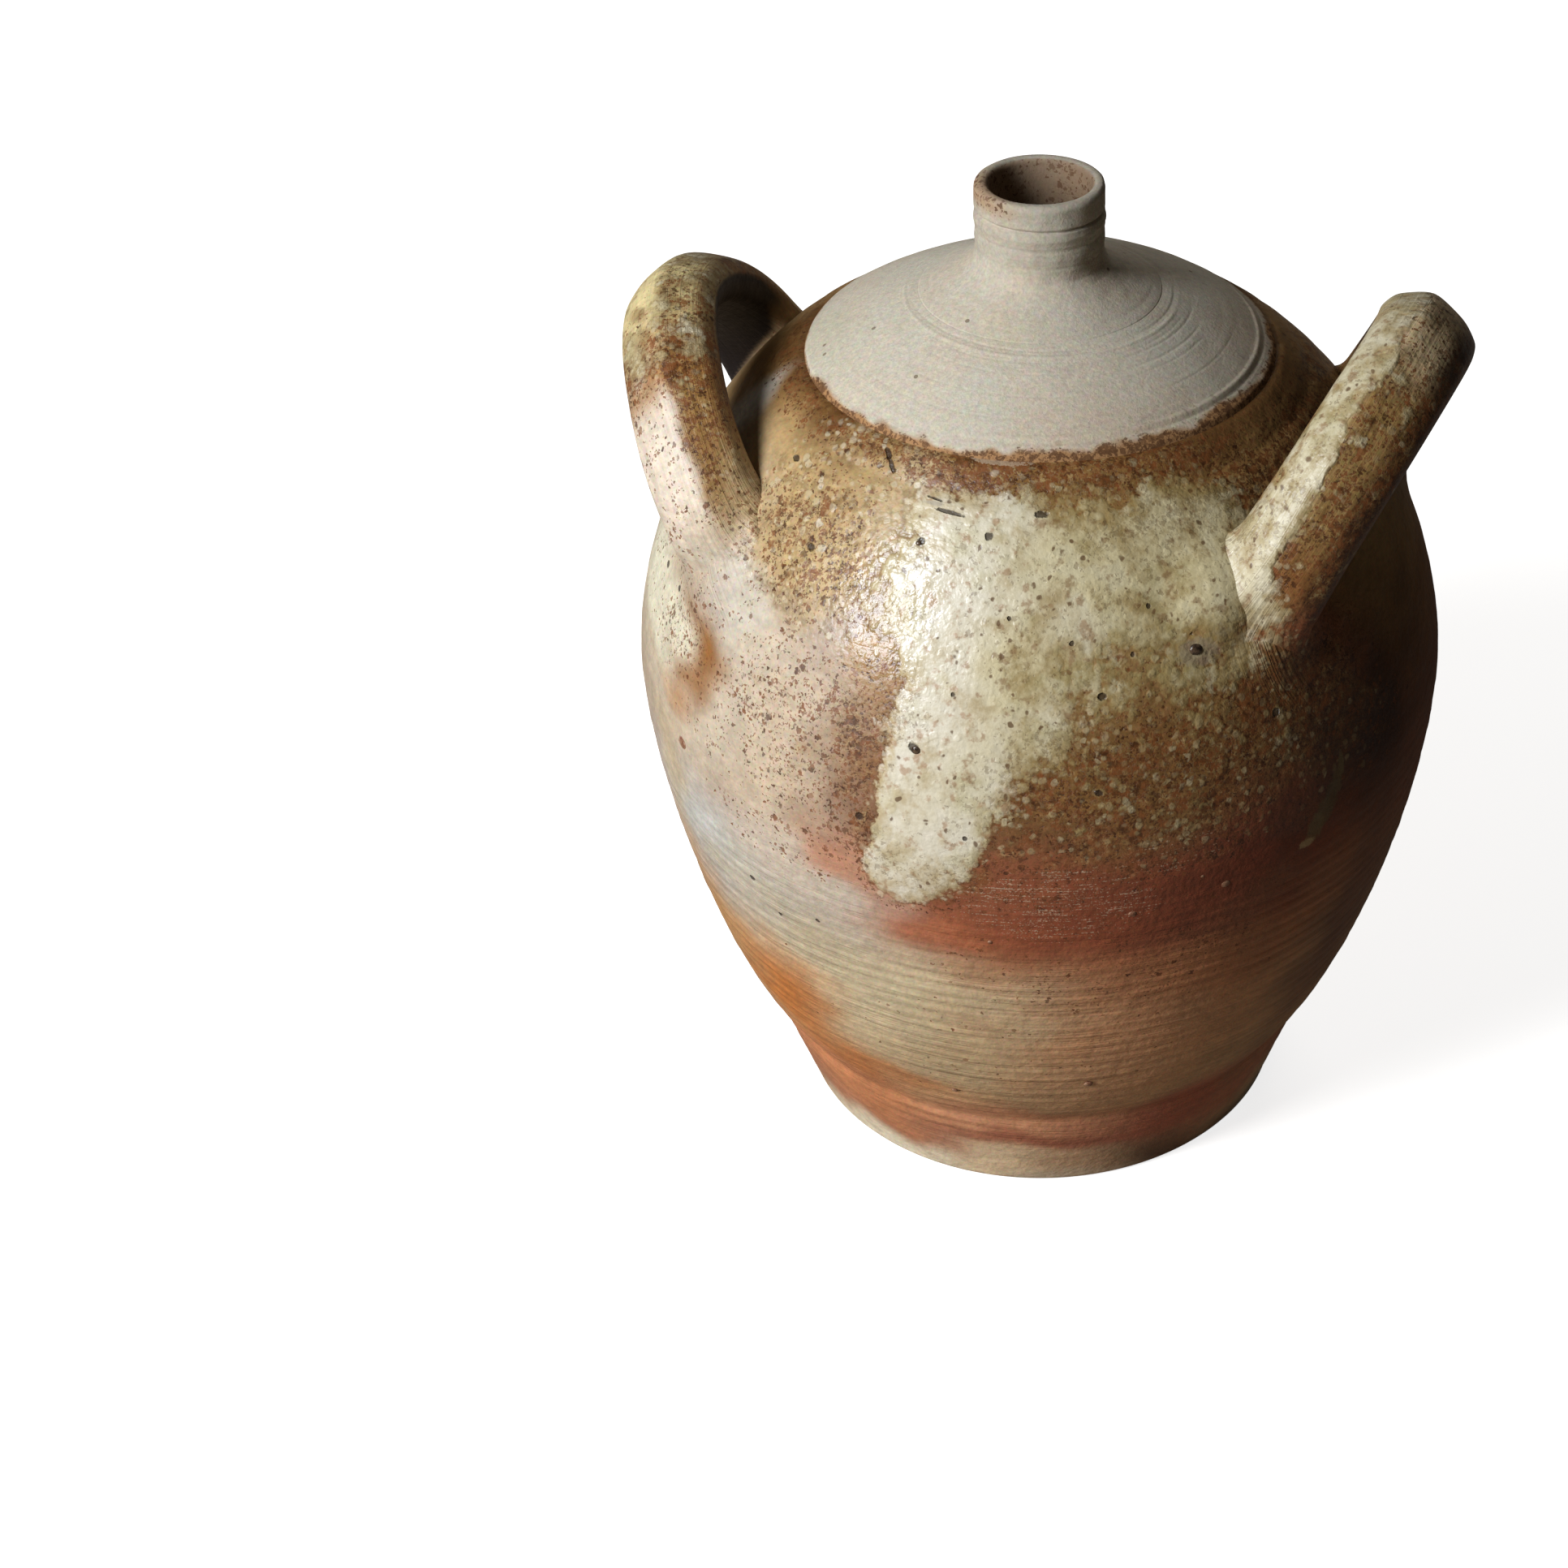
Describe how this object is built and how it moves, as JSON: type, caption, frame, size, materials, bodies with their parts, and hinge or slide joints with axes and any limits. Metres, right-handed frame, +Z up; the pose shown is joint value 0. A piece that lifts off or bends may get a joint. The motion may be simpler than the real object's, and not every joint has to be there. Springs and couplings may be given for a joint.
{
  "type": "two-handled stoneware jug",
  "caption": "Round-bellied stoneware jug with a domed shoulder, a short narrow pouring neck and arched strap handles on the shoulder.",
  "frame": {"origin": "centre of the flat base, on the surface that the jug stands on", "axes": "+Z up the axis of the jug through its neck; the handles stand over +X and -X, both drawn a little towards -Y, which is the front"},
  "size_m": [0.2633, 0.2606, 0.3289],
  "materials": {
    "body_glaze": "wood-fired ash and salt glaze, speckled brown and cream, glossy",
    "bare_dome": "bare grey-beige stoneware, matte, with fine turning lines",
    "bare_neck": "bare grey-beige stoneware with a thin ash flush, matte to satin",
    "left_handle_glaze": "cream and brown speckled ash glaze, satin",
    "right_handle_glaze": "cream and brown speckled ash glaze, glossy"
  },
  "bodies": {
    "root": {"thrown_body": "body_glaze", "shoulder_dome": "bare_dome", "neck_collar": "bare_neck", "left_handle": "left_handle_glaze", "right_handle": "right_handle_glaze"}
  },
  "joints": []
}
